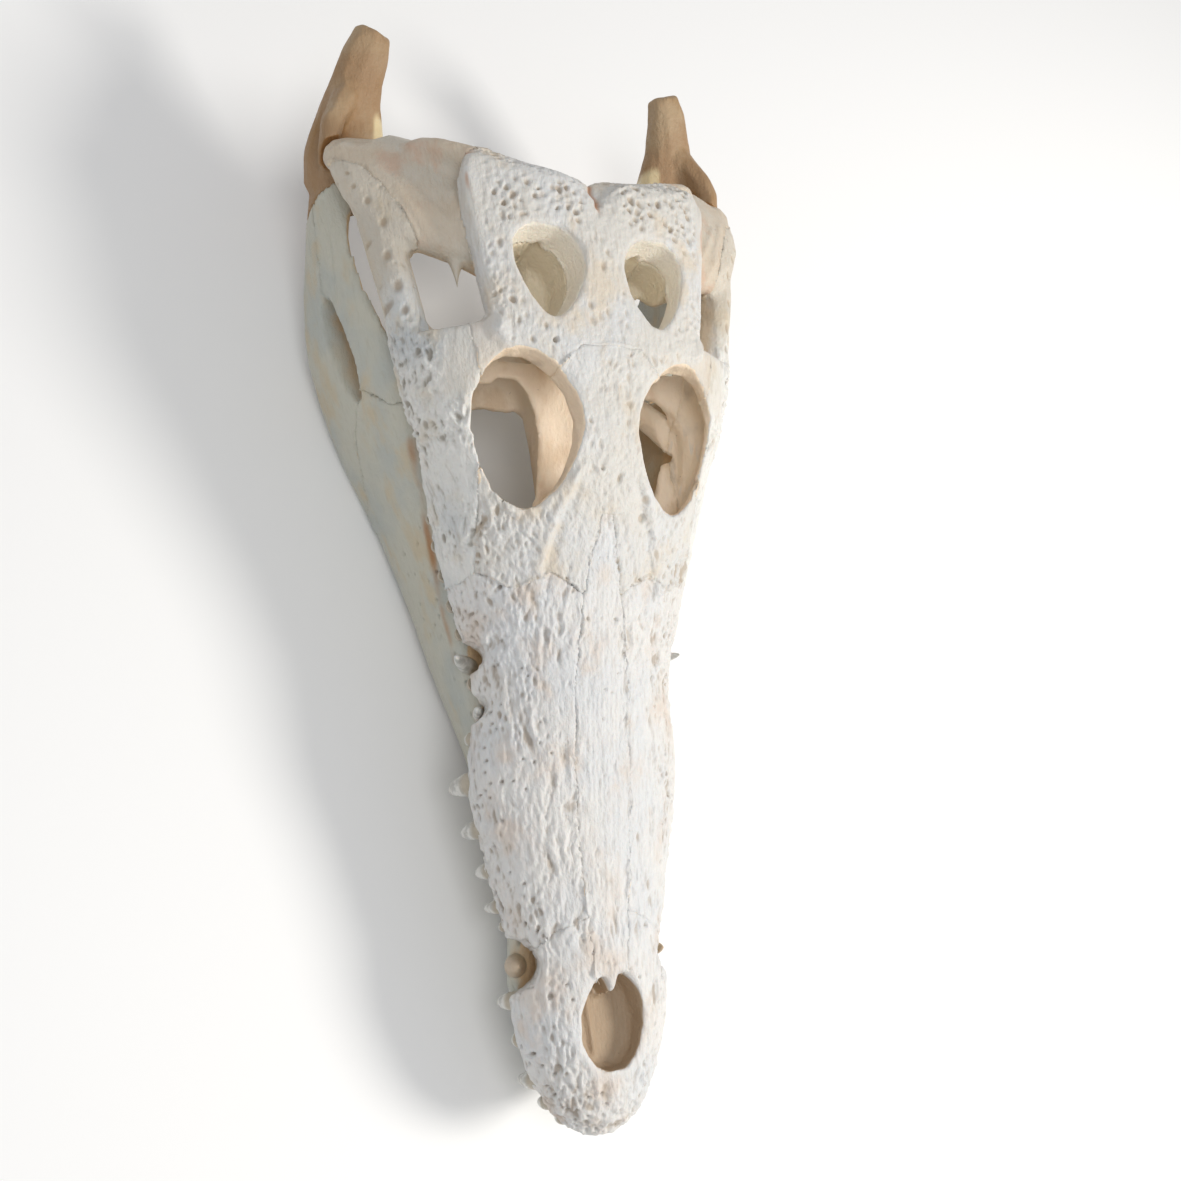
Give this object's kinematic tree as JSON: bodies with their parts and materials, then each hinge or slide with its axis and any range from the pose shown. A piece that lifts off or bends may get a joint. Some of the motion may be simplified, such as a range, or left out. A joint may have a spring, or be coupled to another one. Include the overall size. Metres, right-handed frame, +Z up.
{
  "type": "crocodile skull",
  "caption": "Crocodile skull with its lower jaw, jaws closed, resting on the jaw; tapering snout with teeth, large orbits and a flat pitted skull table.",
  "frame": {"origin": "centre of the whole object's box, at the floor it rests on", "axes": "+Z up, snout tip towards -Y, +X to the animal's left"},
  "size_m": [0.1503, 0.3527, 0.1021],
  "materials": {
    "premaxilla": "dry bone, matt with a faint sheen",
    "maxilla": "dry bone, matt with a faint sheen",
    "nasal": "dry bone, matt with a faint sheen",
    "frontal": "dry bone, matt with a faint sheen",
    "skull_table": "dry bone, matt with a faint sheen",
    "jugal": "dry bone, matt with a faint sheen",
    "quadrate": "dry bone, matt with a faint sheen",
    "braincase": "dry bone, matt with a faint sheen",
    "palate": "dry bone, matt with a faint sheen",
    "dentary": "dry bone, matt with a faint sheen",
    "surangular": "dry bone, matt with a faint sheen",
    "angular": "dry bone, matt with a faint sheen",
    "articular": "dry bone, matt with a faint sheen"
  },
  "bodies": {
    "root": {"premaxilla": "premaxilla", "maxilla_l": "maxilla", "maxilla_r": "maxilla", "nasal": "nasal", "frontal": "frontal", "skull_table": "skull_table", "jugal_l": "jugal", "jugal_r": "jugal", "quadrate_l": "quadrate", "quadrate_r": "quadrate", "braincase": "braincase", "palate": "palate", "dentary_l": "dentary", "dentary_r": "dentary", "surangular_l": "surangular", "surangular_r": "surangular", "angular_l": "angular", "angular_r": "angular", "articular_l": "articular", "articular_r": "articular"}
  },
  "joints": []
}
